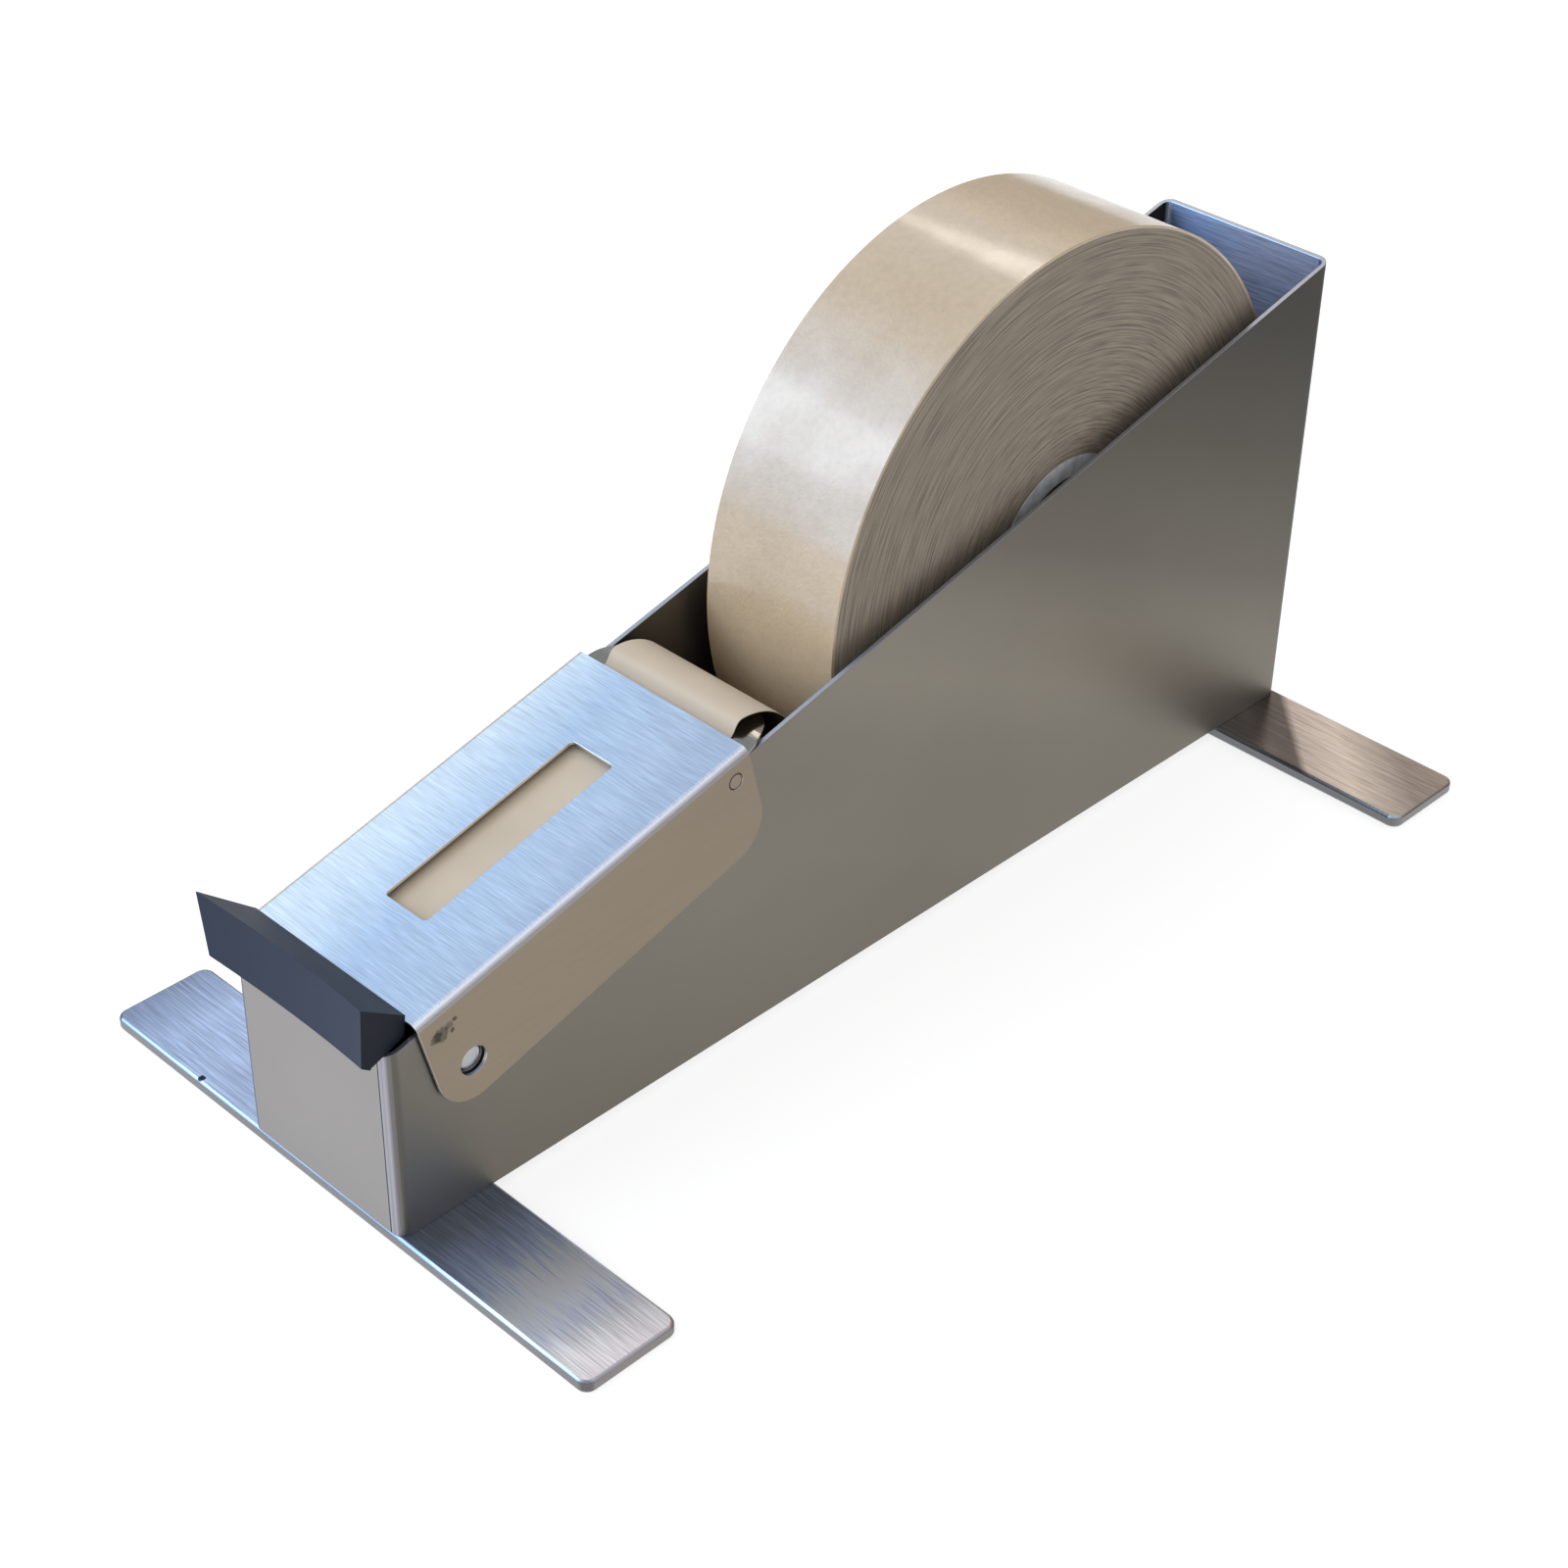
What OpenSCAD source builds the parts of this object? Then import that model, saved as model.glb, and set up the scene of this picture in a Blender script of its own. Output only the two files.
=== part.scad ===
// Gummed tape dispenser of folded stainless sheet: a tall narrow body on two cross feet,
// a drop-in roll of tape, a moistening roller under the tape and a hinged cover with a tear bar.
// Across is X, front to rear is Y, up is Z. The front of the body faces -Y.

/* [Body] */
// Gap between the roll and each side wall
side_play = 5.5; // [5.2:0.1:7]
// Gap between the roll and the rear wall
rear_play = 13; // [6:0.5:30]
// Height of the side walls at the front, above the feet
front_h = 61; // [59:0.5:66]
// Height of the side walls at the rear, above the feet
rear_h = 156.5; // [150:0.5:165]
// Thickness of the body sheet
sheet = 1.5; // [1.2:0.1:1.8]
// Outer radius of the folded upright corners
bend_r = 4; // [3:0.25:5]
// How much lower the front wall ends than the side walls, to let the tape out
exit_drop = 2.5; // [2:0.25:4]
// Width of the seam between the front wall and the folded edge beside it
seam_w = 0.3; // [0.2:0.1:0.5]
// Depth of that seam
seam_depth = 0.4; // [0.2:0.1:0.6]

/* [Feet] */
// Length of a foot, across the body
foot_len = 200; // [180:1:240]
// Width of a foot, along the body
foot_w = 32; // [28:0.5:40]
// Thickness of a foot
foot_t = 4; // [3:0.5:6]
// Radius of a foot's corners
foot_corner_r = 3.5; // [2:0.5:8]
// How far the feet sit to the right of the middle of the body
foot_shift = 3.4; // [0:0.1:6]

/* [Tape bed] */
// Thickness of the plate that the tape slides on
bed_t = 1.2; // [1:0.1:1.4]
// How far the bed overhangs each side wall
bed_over = 0.3; // [0.1:0.05:0.5]
// Distance of the bed's front edge from the front corner, along the slope
bed_front = 17; // [15:0.5:20]
// Distance from the cover's rear edge back to the crest of the bed's curved lip
lip_back = 3.4; // [3:0.1:5]
// Height of that crest above the flat of the bed
lip_rise = 0.5; // [0.2:0.1:0.6]
// Radius of the curved lip, at its upper face
lip_r = 22; // [18:0.2:30]
// Angle that the lip turns down through, behind its crest
lip_turn = 38.5; // [24:0.5:42]
// Radius of the lip's corners, seen from above
lip_corner_r = 17.5; // [14:0.25:20]
// Gap between the water tray's sides and the edges of the roller's opening
slot_play = 0.75; // [0.5:0.05:1]
// Length of the opening for the moistening roller
slot_len = 29; // [28:0.5:34]

/* [Cover] */
// Length of the cover along the slope
cover_len = 119; // [112:0.5:124]
// Distance of the cover's front edge from the front corner, along the slope
cover_inset = 9.9; // [9.6:0.1:11]
// Height of the cover's outer face above the side walls' top edges
cover_rise = 4.5; // [4.3:0.1:6]
// Thickness of the cover sheet
cover_t = 1; // [0.8:0.1:1.2]
// Gap between a side wall and the cover's flange
cover_gap = 0.8; // [0.75:0.05:1.2]
// Outer radius of the cover's long bends
cover_bend_r = 2.6; // [1.5:0.1:3]
// Depth of the flanges at the front
flange_front_h = 37; // [34:0.5:42]
// Depth of the flanges at the rear
flange_rear_h = 33; // [30:0.5:38]
// Radius of the flanges' lower corners
flange_corner_r = 12; // [8:0.5:14]
// Width of the window
window_w = 16.6; // [12:0.2:24]
// Length of the window
window_len = 68; // [50:1:76]
// Distance of the window from the cover's front edge
window_inset = 25.2; // [20:0.2:32]
// Radius of the window's corners
window_corner_r = 1.4; // [1:0.1:4]
// How far the tongue for the tear bar stays in from each side wall
tongue_in = 10.5; // [8:0.5:12]
// Length of the tongue in front of the cover's edge
tongue_len = 7; // [6:0.25:7.5]

/* [Hinge] */
// Radius of the hinge pins where the cover turns on them
pin_r = 2.5; // [2:0.1:2.7]
// Radius of the pins' shanks in the side walls
shank_r = 1.6; // [1.4:0.1:1.8]
// Distance of the pins from the cover's rear edge
pin_inset = 6.4; // [6:0.1:7]
// Depth of the pins below the cover's outer face
pin_drop = 7.4; // [7.2:0.1:9]
// Thickness of the pins' inner heads
pin_head_t = 1.2; // [1:0.1:1.6]
// Running clearance round a pin or a plunger
run_gap = 0.05; // [0.03:0.01:0.08]

/* [Spring catch] */
// Distance of the catch buttons from the cover's front edge
catch_inset = 11.8; // [10:0.2:13]
// Depth of the catch buttons below the cover's outer face
catch_drop = 24.3; // [22:0.1:26]
// Radius of the domed button face
dome_r = 3.9; // [3.6:0.1:4.1]
// Height of the dome on the button
dome_h = 0.65; // [0.4:0.05:0.65]
// Radius of the hole for the button in the cover's flange
catch_hole_r = 4.35; // [4.2:0.05:5]
// Radius of the button's shoulder, which stops it against the wall
shoulder_r = 4.8; // [4.6:0.1:5.2]
// Length of the button's shoulder
shoulder_len = 4.5; // [3.5:0.25:6]
// Play between the shoulder and the wall
stop_gap = 0.2; // [0.1:0.05:0.3]
// Outer radius of the catch housing
housing_r = 6.5; // [6:0.1:8]
// Length of the catch housing
housing_len = 14; // [13:0.5:16]
// Thickness of the plug that closes the housing
plug_t = 2.5; // [2:0.25:3]
// Outer radius of the catch spring
spring_r = 4; // [3.6:0.1:4.2]
// Thickness of the catch spring's coils
spring_wire = 0.8; // [0.6:0.1:1]

/* [Tear bar] */
// How far the tear bar overhangs the front wall
bar_nose = 7.6; // [7:0.1:9]
// How far the tear bar reaches behind the front wall
bar_back = 8; // [7.4:0.1:8.1]
// Height of the tearing edge above the side walls' front corners
bar_top = 21.6; // [19:0.1:24]
// Height of the front face
bar_face_h = 19.7; // [17:0.1:20]
// Height of the bar's rear edge above the side walls' front corners
bar_rear = 9.5; // [9:0.1:11]
// How far the chin slopes back under the front face
chin_back = 3.4; // [2.5:0.1:4.5]
// How far the chin drops below the front face
chin_drop = 3; // [2:0.1:3.2]
// How far the tearing edge overhangs each side wall
bar_over = 1.5; // [0.5:0.1:3]
// How far the front face is hollowed along its length
bar_bow = 2.5; // [1:0.1:3]
// Lean of the bar's ends, seen from the front
bar_end_lean = 6.1; // [3:0.1:8]
// Rake of the bar's ends, seen from above
bar_end_rake = 6.6; // [3:0.1:8]
// Gap between the bar and the side walls under it
bar_gap = 0.4; // [0.3:0.05:0.6]
// Radius of the screws that hold the bar
screw_r = 1.5; // [1.25:0.05:1.6]
// Length of those screws
screw_len = 8; // [6:0.5:8.5]
// Distance of each screw from the tongue's side edge
screw_in = 7; // [5:0.5:9]

/* [Moistener] */
// Distance of the moistening roller from the front corner, along the slope
roller_place = 64; // [60:1:70]
// Radius of the felt sleeve
roller_r = 13; // [12:0.25:13.5]
// How much narrower the felt sleeve is than the tape, on each side
sleeve_in = 1; // [0:0.25:3]
// Radius of the roller's core
core_r = 9; // [7:0.25:10]
// Radius of the roller's axle
axle_r = 3; // [2.5:0.25:3.5]
// Gap between the water tray and each side wall
tray_play = 2.5; // [2:0.1:3]
// Length of the water tray
tray_len = 70; // [62:1:76]
// Distance of the water tray from the front of the body
tray_front = 36; // [34:0.5:38]
// Height of the water tray
tray_h = 58; // [54:0.5:60]
// Thickness of the tray's walls
tray_wall = 2; // [1.5:0.25:2.25]
// Radius of the tray's corners
tray_corner_r = 5; // [3:0.5:8]
// Width of the lugs that carry the axle
lug_w = 16; // [12:1:22]

/* [Tape] */
// Width of the tape
tape_w = 50; // [45:1:60]
// Outer radius of the roll
roll_r = 97; // [88:1:110]
// Outer radius of the roll's core
roll_core_r = 28.75; // [26:0.25:40]
// Thickness of the core's wall
roll_core_wall = 6; // [4:0.25:8]
// Distance from the cover's rear edge back to the roll
roll_back = 36.1; // [33:0.5:42]
// Thickness of the strip of tape
strip_t = 0.25; // [0.2:0.01:0.3]
// Distance from the cover's rear edge back to the top of the crown that the strip makes
crown_back = 7; // [6:0.5:9]
// Height of that crown above the crest of the lip
crown_h = 3.3; // [2.5:0.1:4]
// Radius of the crown
crown_r = 21; // [20:0.5:22]

/* [Hidden] */
$fn = 96;
// Overrun of cuts
over = 1;
// Clearance between pieces that pass each other
pass_gap = 0.3;
// Clearance of pieces seated in one another
seat_gap = 0.02;

// The body is as wide and as long as the roll needs
body_w = tape_w + 2 * (side_play + sheet);
inner_half = body_w / 2 - sheet;
roll_place = cover_inset + cover_len + roll_back + roll_r;
body_len = roll_place + roll_r + rear_play + sheet;
// The side walls' top edges rise along this angle
slope = atan((rear_h - front_h) / body_len);
wall_z = foot_t + front_h;
floor_z = foot_t + sheet;
overall_mid_y = (body_len - bar_nose) / 2;

// Cover
cover_half = body_w / 2 + cover_gap + cover_t;
tongue_w = 2 * (inner_half - tongue_in);
cover_under = cover_rise - cover_t;
cover_rear = cover_inset + cover_len;
pin_u = cover_rear - pin_inset;
pin_v = cover_rise - pin_drop;
catch_u = cover_inset + catch_inset;
catch_v = cover_rise - catch_drop;

// Tape bed: the lip's upper face is an arc about this point of the slope frame
bed_half = body_w / 2 + bed_over;
lip_u = cover_rear + lip_back;
lip_v = bed_t + lip_rise - lip_r;
lip_lead = acos((bed_t - lip_v) / lip_r);
lip_end = lip_u + lip_r * sin(lip_turn);

// Tear bar
bar_w = body_w + 2 * bar_over;
screw_pitch = tongue_w - 2 * screw_in;
bow_r = (bar_w * bar_w / 4 + bar_bow * bar_bow) / (2 * bar_bow);
screw_u = cover_inset - tongue_len / 2;
screw_head_r = screw_r * 1.8;

// Moistener
tray_w = 2 * (inner_half - tray_play);
slot_w = tray_w + 2 * slot_play;
sleeve_len = tape_w - 2 * sleeve_in;
roller_v = bed_t - roller_r;
core_len = tray_w - 2 * tray_wall - 2 * pass_gap;
notch_r = axle_r + run_gap;

// Tape
roll_z = floor_z + pass_gap + roll_r;
strip_v = bed_t + pass_gap + strip_t / 2;
exit_v = bar_gap - (bar_gap + exit_drop) / 2;
curve_steps = 10;
arc_steps = 14;

// A point of the slope frame, u along the walls' top edges and v square to them, as [y, z]
function on_wall(u, v) = [u * cos(slope) - v * sin(slope), wall_z + u * sin(slope) + v * cos(slope)];
// Points of a curve that leaves a and reaches b along the given directions
function curve(a, da, b, db, pull) = [for (i = [0 : curve_steps])
    let (t = i / curve_steps, s = 1 - t)
    s * s * s * a + 3 * s * s * t * (a + pull * da) + 3 * s * t * t * (b - pull * db) + t * t * t * b];
// Points of an arc, from angle a0 to angle a1
function arc(centre, r, a0, a1) = [for (i = [1 : arc_steps])
    let (a = a0 + (a1 - a0) * i / arc_steps) centre + r * [cos(a), sin(a)]];

pin_pos = on_wall(pin_u, pin_v);
catch_pos = on_wall(catch_u, catch_v);
roller_pos = on_wall(roller_place, roller_v);
roll_pos = [roll_place, roll_z];

// The strip runs down the bed, rises in a crown over the lip and meets the roll along a tangent
uphill = [cos(slope), sin(slope)];
strip_rear = on_wall(cover_rear + pass_gap, strip_v);
crown_top = [on_wall(cover_rear, cover_rise)[0] + crown_back, on_wall(lip_u, lip_v)[1] + lip_r + crown_h];
crown_pos = crown_top - [0, crown_r];
wrap_r = roll_r + pass_gap + strip_t / 2;
reach = roll_pos - crown_pos;
run_angle = atan2(reach[1], reach[0]) - asin((crown_r + wrap_r) / norm(reach));
strip_path = concat(
    [on_wall(-bar_nose / 5, exit_v)],
    curve(on_wall(cover_inset / 2, exit_v), uphill, on_wall(bed_front + over, strip_v), uphill, bar_back / 2),
    curve(strip_rear, uphill, crown_top, [1, 0], crown_back / 2),
    arc(crown_pos, crown_r, 90, 90 + run_angle),
    [roll_pos - wrap_r * [cos(90 + run_angle), sin(90 + run_angle)]]);
strip_last = len(strip_path) - 1;
// The direction square to the strip at point i, towards its upper face
function strip_up(i) =
    let (d = strip_path[min(i + 1, strip_last)] - strip_path[max(i - 1, 0)]) [-d[1], d[0]] / norm(d);

// Puts a piece into the frame whose origin is under the middle of the dispenser, on the table
module place() {
    translate([-foot_shift, -overall_mid_y, 0]) children();
}

// Turns a level plane into the sloping one of the side walls' top edges
module on_slope() {
    translate([0, 0, wall_z]) rotate([slope, 0, 0]) children();
}

// Extrudes an outline of [y, z] points across the body
module across(w) {
    rotate([90, 0, 90]) linear_extrude(height = w, center = true) children();
}

// A round bar along X between two places
module rod(r, x0, x1) {
    translate([x0, 0, 0]) rotate([0, 90, 0]) cylinder(r = r, h = x1 - x0);
}

// An outline with rounded corners, centred in X, that starts at y = 0
module round_outline(w, l, r) {
    translate([r - w / 2, 0]) square([w - 2 * r, l]);
    translate([-w / 2, r]) square([w, l - 2 * r]);
    for (x = [r - w / 2, w / 2 - r], y = [r, l - r])
        translate([x, y]) circle(r = r);
}

module round_plate(w, l, t, r) {
    linear_extrude(height = t) round_outline(w, l, r);
}

module steel() {
    color([0.62, 0.62, 0.63]) children();
}

// Puts a piece at a catch: the left one is the right one mirrored
module at_catch(side) {
    translate([0, catch_pos[0], catch_pos[1]]) mirror([side < 0 ? 1 : 0, 0, 0]) children();
}

module body_shell() {
    steel() difference() {
        translate([0, 0, foot_t]) round_plate(body_w, body_len, rear_h, bend_r);
        translate([0, sheet, foot_t - over])
            round_plate(2 * inner_half, body_len - 2 * sheet, rear_h + 2 * over, bend_r - sheet);
        on_slope() translate([-body_w, -body_len / 2, 0]) cube([2 * body_w, 2 * body_len, rear_h]);
        // The tape leaves over the front wall
        translate([bend_r - body_w / 2, -over, wall_z - exit_drop])
            cube([body_w - 2 * bend_r, sheet + 2 * over, exit_drop + over]);
        // Seam beside the folded edge of the right wall
        translate([body_w / 2 - bend_r - seam_w, -over, foot_t - over])
            cube([seam_w, seam_depth + over, front_h + 2 * over]);
        translate([0, pin_pos[0], pin_pos[1]]) rod(shank_r + seat_gap, -body_w, body_w);
        translate([0, catch_pos[0], catch_pos[1]]) rod(dome_r + run_gap, -body_w, body_w);
    }
}

module base_plate() {
    inset = sheet + seat_gap;
    steel() translate([0, inset, foot_t])
        round_plate(body_w - 2 * inset, body_len - 2 * inset, sheet, bend_r - sheet);
}

module foot() {
    color([0.66, 0.67, 0.7]) translate([foot_shift, 0, 0])
        round_plate(foot_len, foot_w, foot_t, foot_corner_r);
}

module front_foot() {
    foot();
}

module rear_foot() {
    translate([0, body_len - foot_w, 0]) foot();
}

// Side view of the curved lip, about its centre
module lip_profile() {
    difference() {
        circle(r = lip_r);
        circle(r = lip_r - bed_t);
        rotate(90 + lip_lead) translate([-2 * lip_r, 0]) square(4 * lip_r);
        rotate(90 - lip_turn) translate([-2 * lip_r, -4 * lip_r]) square(4 * lip_r);
    }
}

// The bed seen square to the slope, with the lip's rounded corners
module bed_plan() {
    straight = lip_end - lip_corner_r - bed_front;
    translate([-bed_half, bed_front]) square([2 * bed_half, straight]);
    translate([lip_corner_r - bed_half, bed_front])
        square([2 * (bed_half - lip_corner_r), lip_end - bed_front]);
    for (side = [-1, 1])
        translate([side * (bed_half - lip_corner_r), lip_end - lip_corner_r]) circle(r = lip_corner_r);
}

module tape_bed() {
    // The flat reaches into the root of the lip
    flat_len = lip_u - (lip_r - 2 * bed_t) * sin(lip_lead) - bed_front;
    steel() on_slope() difference() {
        intersection() {
            union() {
                translate([-bed_half, bed_front, 0]) cube([2 * bed_half, flat_len, bed_t]);
                translate([0, lip_u, lip_v]) across(2 * bed_half) lip_profile();
            }
            translate([0, 0, -lip_r]) linear_extrude(height = 2 * lip_r) bed_plan();
        }
        translate([-slot_w / 2, roller_place - slot_len / 2, -over])
            cube([slot_w, slot_len, bed_t + 2 * over]);
        // Behind the crest the lip passes between the side walls
        for (side = [-1, 1])
            translate([side * (inner_half - pass_gap + body_w / 2), lip_u + lip_r, 0])
                cube([body_w, 2 * (lip_r - lip_corner_r / 4), 2 * lip_r], center = true);
    }
}

// Side view of a flange of the cover, in the slope frame, with holes for the pin and the button
module flange_outline() {
    front_v = cover_rise - flange_front_h;
    rear_v = cover_rise - flange_rear_h;
    taper = atan((flange_front_h - flange_rear_h) / cover_len);
    r = flange_corner_r;
    // Each corner's circle touches its end of the flange and the sloping lower edge
    front_at = [cover_inset + r, front_v + r / cos(taper) + r * tan(taper)];
    rear_at = [cover_rear - r, rear_v + r / cos(taper) - r * tan(taper)];
    foot_dir = r * [sin(taper), -cos(taper)];
    polygon([[cover_inset, cover_rise - cover_bend_r], [cover_inset, front_at[1]], front_at,
        front_at + foot_dir, rear_at + foot_dir, rear_at, [cover_rear, rear_at[1]],
        [cover_rear, cover_rise - cover_bend_r]]);
    translate(front_at) circle(r = r);
    translate(rear_at) circle(r = r);
}

module cover() {
    steel() on_slope() difference() {
        union() {
            // The top and its two long bends
            translate([0, cover_rear, 0]) rotate([90, 0, 0]) linear_extrude(height = cover_len)
                difference() {
                    cover_arch(cover_half, cover_rise, cover_bend_r);
                    cover_arch(cover_half - cover_t, cover_under, cover_bend_r - cover_t);
                }
            for (side = [-1, 1])
                translate([side * (cover_half - cover_t / 2), 0, 0]) across(cover_t) flange_outline();
            translate([-tongue_w / 2, cover_inset - tongue_len, cover_under])
                cube([tongue_w, tongue_len + over, cover_t]);
        }
        translate([0, cover_inset + window_inset, 0])
            round_plate(window_w, window_len, cover_rise + over, window_corner_r);
        translate([0, pin_u, pin_v]) rod(pin_r + run_gap, -2 * cover_half, 2 * cover_half);
        translate([0, catch_u, catch_v]) rod(catch_hole_r, -2 * cover_half, 2 * cover_half);
        at_screws() translate([0, 0, -over])
            cylinder(r = screw_r + seat_gap, h = screw_len);
    }
}

// End view of the cover's top and bends, down to where the flanges take over
module cover_arch(half, top, r) {
    skirt = cover_rise - cover_bend_r - seat_gap;
    intersection() {
        union() {
            translate([-half, skirt]) square([2 * half, top - r - skirt]);
            translate([r - half, skirt]) square([2 * (half - r), top - skirt]);
            for (side = [-1, 1]) translate([side * (half - r), top - r]) circle(r = r);
        }
        translate([-half, skirt]) square([2 * half, top]);
    }
}

// The two places, in the slope frame, of the screws that hold the tear bar
module at_screws() {
    for (side = [-1, 1]) translate([side * screw_pitch / 2, screw_u, bar_gap]) children();
}

// Side view of the tear bar: tearing edge, front face, chin, underside, back and top facet
module bar_profile() {
    back_foot = on_wall(bar_back, bar_gap);
    chin = [chin_back - bar_nose, wall_z + bar_top - bar_face_h - chin_drop];
    polygon([[-bar_nose, wall_z + bar_top], [-bar_nose, wall_z + bar_top - bar_face_h], chin,
        on_wall(chin[0] + bar_gap, bar_gap), back_foot, [bar_back, wall_z + bar_rear]]);
}

module tear_bar() {
    color([0.22, 0.24, 0.29]) difference() {
        across(2 * bar_w) bar_profile();
        // The front face is hollowed along its length
        translate([0, bar_bow - bar_nose - bow_r, wall_z - bar_top])
            cylinder(r = bow_r, h = 3 * bar_top, $fn = 240);
        // The ends lean in towards the bottom and the back
        for (side = [-1, 1])
            translate([side * bar_w / 2, -bar_nose, wall_z + bar_top]) mirror([side < 0 ? 1 : 0, 0, 0])
                rotate([0, bar_end_lean, 0]) rotate([0, 0, bar_end_rake])
                    translate([0, -bar_w, -bar_w]) cube(2 * bar_w);
        on_slope() translate([-tongue_w / 2 - seat_gap, screw_u - tongue_len / 2 - seat_gap,
            cover_under - seat_gap])
            cube([tongue_w + 2 * seat_gap, bar_back + tongue_len, cover_t + 2 * seat_gap]);
        on_slope() at_screws() screw(seat_gap);
    }
}

// A countersunk screw, point up, grown by a clearance where it is cut out of the bar
module screw(gap) {
    head_h = screw_head_r - screw_r;
    translate([0, 0, -gap]) cylinder(r1 = screw_head_r + gap, r2 = screw_r + gap, h = head_h + gap);
    cylinder(r = screw_r + gap, h = screw_len + gap);
}

module tear_bar_screws() {
    color([0.5, 0.5, 0.52]) on_slope() at_screws() screw(0);
}

module pivot_pins() {
    color([0.58, 0.58, 0.6]) translate([0, pin_pos[0], pin_pos[1]]) for (side = [0, 1])
        mirror([side, 0, 0]) {
            rod(pin_r, body_w / 2, cover_half);
            rod(shank_r, inner_half - pin_head_t / 2, body_w / 2 + cover_t / 2);
            rod(pin_r, inner_half - pin_head_t, inner_half);
        }
}

// Half of the button's outline, turned about its own axis: shoulder, shank and dome
module button_profile() {
    // The dome is part of a ball that its width and its height give
    ball_r = (dome_r * dome_r + dome_h * dome_h) / (2 * dome_h);
    shoulder_at = inner_half - stop_gap;
    translate([0, shoulder_at - shoulder_len]) square([shoulder_r, shoulder_len]);
    translate([0, shoulder_at - stop_gap]) square([dome_r, body_w / 2 - shoulder_at + stop_gap]);
    intersection() {
        translate([0, body_w / 2 + dome_h - ball_r]) circle(r = ball_r);
        translate([0, body_w / 2 - stop_gap]) square([dome_r, stop_gap + 2 * dome_h]);
    }
}

module catch_button(side) {
    color([0.7, 0.71, 0.74]) at_catch(side) rotate([0, 90, 0]) rotate_extrude() button_profile();
}

module catch_button_left() {
    catch_button(-1);
}

module catch_button_right() {
    catch_button(1);
}

module catch_housing(side) {
    steel() at_catch(side) difference() {
        rod(housing_r, inner_half - housing_len, inner_half);
        rod(shoulder_r + run_gap, inner_half - housing_len - over, inner_half + over);
    }
}

module catch_housing_left() {
    catch_housing(-1);
}

module catch_housing_right() {
    catch_housing(1);
}

module catch_spring(side) {
    seat = inner_half - housing_len + plug_t;
    color([0.45, 0.46, 0.48]) at_catch(side) difference() {
        rod(spring_r, seat, inner_half - stop_gap - shoulder_len);
        rod(spring_r - spring_wire, seat - over, inner_half);
    }
}

module catch_spring_left() {
    catch_spring(-1);
}

module catch_spring_right() {
    catch_spring(1);
}

module catch_plug(side) {
    end = inner_half - housing_len;
    color([0.5, 0.5, 0.52]) at_catch(side) rod(shoulder_r + run_gap - seat_gap, end, end + plug_t);
}

module catch_plug_left() {
    catch_plug(-1);
}

module catch_plug_right() {
    catch_plug(1);
}

// A deep tray for the water, with a lug on each side that carries the roller's axle in a notch
module water_tray() {
    lug_top = roller_pos[1] + axle_r;
    color([0.24, 0.25, 0.27]) difference() {
        union() {
            translate([0, tray_front, floor_z]) round_plate(tray_w, tray_len, tray_h, tray_corner_r);
            translate([-tray_w / 2, roller_pos[0] - lug_w / 2, floor_z])
                cube([tray_w, lug_w, lug_top - floor_z]);
        }
        translate([0, tray_front + tray_wall, floor_z + tray_wall])
            round_plate(tray_w - 2 * tray_wall, tray_len - 2 * tray_wall, 2 * tray_h,
                tray_corner_r - tray_wall);
        translate([0, roller_pos[0], roller_pos[1]]) rod(notch_r, -tray_w, tray_w);
        translate([-tray_w, roller_pos[0] - notch_r, roller_pos[1]])
            cube([2 * tray_w, 2 * notch_r, roller_r]);
    }
}

module at_roller() {
    translate([0, roller_pos[0], roller_pos[1]]) children();
}

module roller_axle() {
    half = tray_w / 2 + tray_wall / 2;
    color([0.6, 0.6, 0.62]) at_roller() rod(axle_r, -half, half);
}

module roller_core() {
    color([0.85, 0.85, 0.83]) at_roller() difference() {
        rod(core_r, -core_len / 2, core_len / 2);
        rod(axle_r + seat_gap, -core_len, core_len);
    }
}

module roller_sleeve() {
    color([0.9, 0.88, 0.8]) at_roller() difference() {
        rod(roller_r, -sleeve_len / 2, sleeve_len / 2);
        rod(core_r + seat_gap, -sleeve_len, sleeve_len);
    }
}

module tape_roll() {
    color([0.78, 0.7, 0.58]) translate([0, roll_pos[0], roll_pos[1]]) difference() {
        rod(roll_r, -tape_w / 2, tape_w / 2);
        rod(roll_core_r + seat_gap, -tape_w, tape_w);
    }
}

module roll_core() {
    color([0.5, 0.55, 0.62]) translate([0, roll_pos[0], roll_pos[1]]) difference() {
        rod(roll_core_r, -tape_w / 2, tape_w / 2);
        rod(roll_core_r - roll_core_wall, -tape_w, tape_w);
    }
}

module tape_strip() {
    steps = [0 : strip_last];
    upper = [for (i = steps) strip_path[i] + strip_t / 2 * strip_up(i)];
    lower = [for (i = steps) strip_path[strip_last - i] - strip_t / 2 * strip_up(strip_last - i)];
    color([0.8, 0.72, 0.6]) across(tape_w) polygon(concat(upper, lower));
}

place() body_shell();
place() base_plate();
place() front_foot();
place() rear_foot();
place() tape_bed();
place() cover();
place() tear_bar();
place() tear_bar_screws();
place() pivot_pins();
place() catch_button_left();
place() catch_button_right();
place() catch_housing_left();
place() catch_housing_right();
place() catch_spring_left();
place() catch_spring_right();
place() catch_plug_left();
place() catch_plug_right();
place() water_tray();
place() roller_axle();
place() roller_core();
place() roller_sleeve();
place() tape_roll();
place() roll_core();
place() tape_strip();
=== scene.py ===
# Gummed tape dispenser of brushed stainless sheet, with its roll of kraft tape.
# Lengths are in metres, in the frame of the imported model.
import math

import bmesh
import bpy
import numpy as np
from mathutils import Matrix, Vector


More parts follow.
